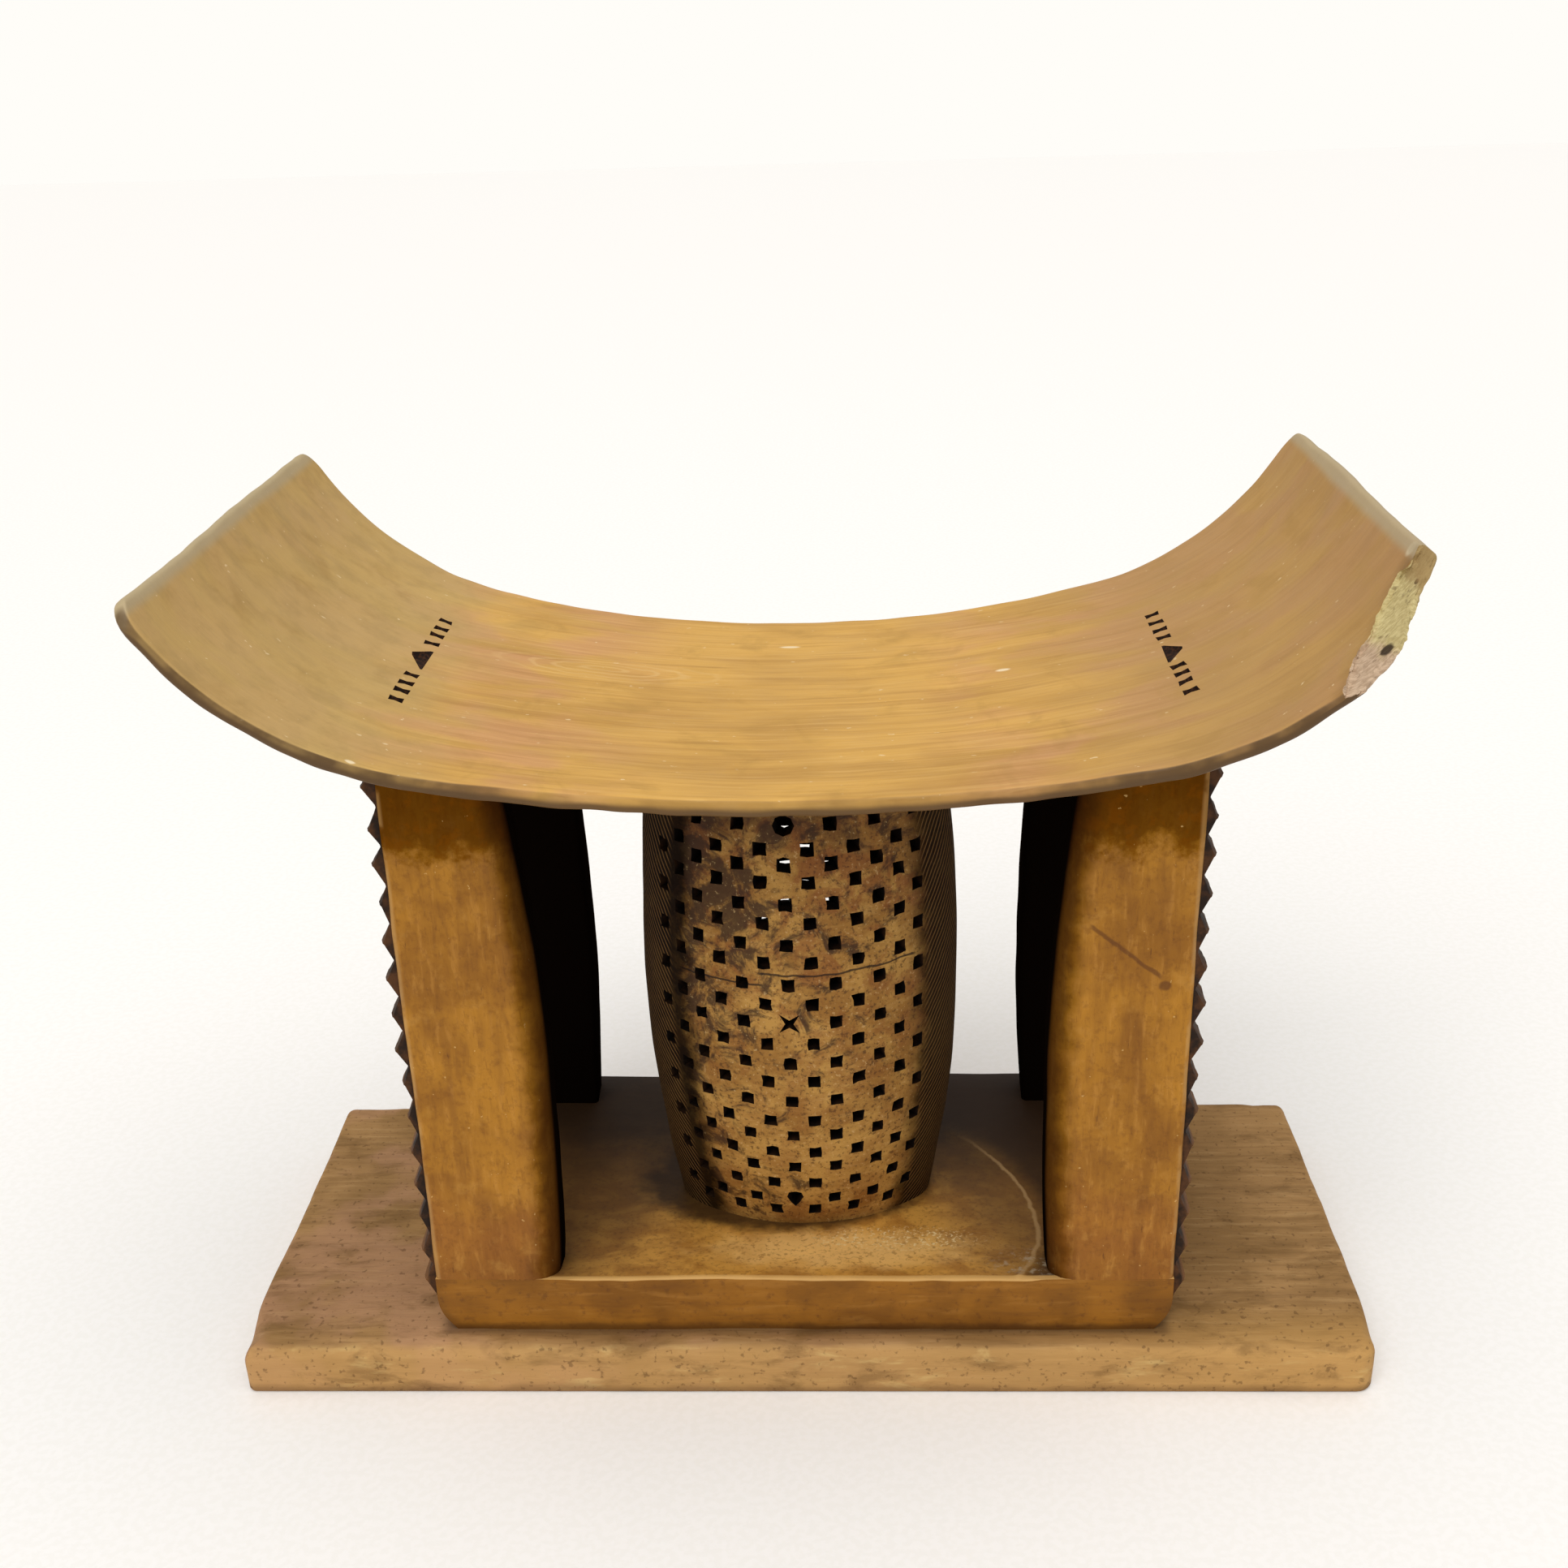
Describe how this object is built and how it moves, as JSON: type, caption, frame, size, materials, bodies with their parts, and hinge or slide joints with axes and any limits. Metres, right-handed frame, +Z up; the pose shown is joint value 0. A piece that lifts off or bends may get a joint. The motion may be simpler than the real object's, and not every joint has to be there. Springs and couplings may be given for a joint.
{
  "type": "ashanti stool",
  "caption": "Carved wooden stool with a curved seat on a pierced hollow column and serrated corner posts, standing on a plinth and a long base slab.",
  "frame": {"origin": "on the ground, under the middle of the base slab", "axes": "+X to the stool's right along the seat, +Y to its back, +Z up"},
  "size_m": [0.432, 0.2154, 0.3265],
  "materials": {
    "seat_wood": "worn satin",
    "post_wood": "worn satin",
    "column_wood": "matt",
    "base_wood": "matt, dusty",
    "stained_edge": "dark stain, matt"
  },
  "bodies": {
    "root": {"base_slab": "base_wood", "plinth": "post_wood", "column": "column_wood", "seat": "seat_wood", "post_front_left": "post_wood", "post_front_right": "post_wood", "post_back_left": "post_wood", "post_back_right": "post_wood", "serrated_edge_front_left": "stained_edge", "serrated_edge_front_right": "stained_edge", "serrated_edge_back_left": "stained_edge", "serrated_edge_back_right": "stained_edge"}
  },
  "joints": []
}
